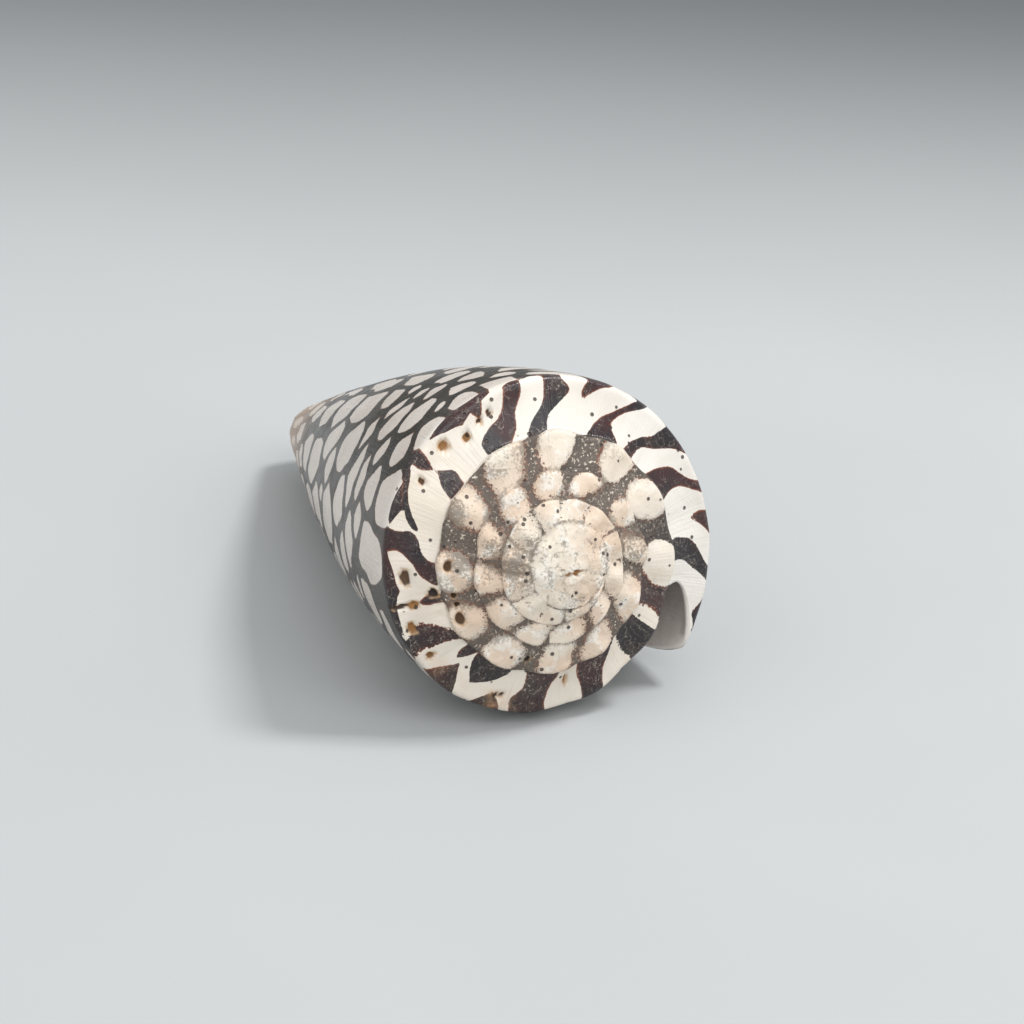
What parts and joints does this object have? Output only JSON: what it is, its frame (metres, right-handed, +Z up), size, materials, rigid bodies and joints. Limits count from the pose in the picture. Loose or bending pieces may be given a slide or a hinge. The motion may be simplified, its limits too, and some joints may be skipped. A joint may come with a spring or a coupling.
{
  "type": "cone shell",
  "caption": "Worn marbled cone shell: a coiled sea-snail shell with a low stepped spire, a tapering body and an open aperture slot, lying on its aperture",
  "frame": {"origin": "on the ground under the middle of the shell's outline, as it lies on its aperture", "axes": "+Y along the shell from the spire toward the slender front end, +Z up, +X to the right seen from the spire, which is the side of the free lip"},
  "size_m": [0.042, 0.0774, 0.0392],
  "materials": {
    "shell": "satin"
  },
  "bodies": {
    "root": {"cone_shell": "shell"}
  },
  "joints": []
}
